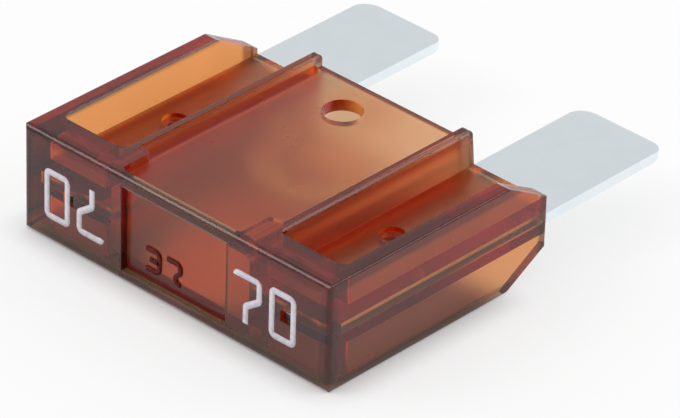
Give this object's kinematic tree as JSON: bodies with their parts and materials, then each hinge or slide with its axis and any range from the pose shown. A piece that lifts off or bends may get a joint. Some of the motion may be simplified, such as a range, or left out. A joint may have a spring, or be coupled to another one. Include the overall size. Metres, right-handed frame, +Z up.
{
  "type": "automotive blade fuse",
  "caption": "Large blade fuse: translucent moulded housing round one stamped metal element, with flat blades out of one end and rating digits on the other.",
  "frame": {"origin": "under the middle of the whole fuse's box, in the plane that its broad face rests on", "axes": "+X across the two blades, +Y along the blades from the label face towards the blade tips, +Z up out of the broad face with the vent hole"},
  "size_m": [0.0292, 0.0344, 0.0085],
  "materials": {
    "housing_plastic": "translucent",
    "plated_metal": "satin"
  },
  "bodies": {
    "root": {"housing": "housing_plastic", "fuse_element": "plated_metal"}
  },
  "joints": []
}
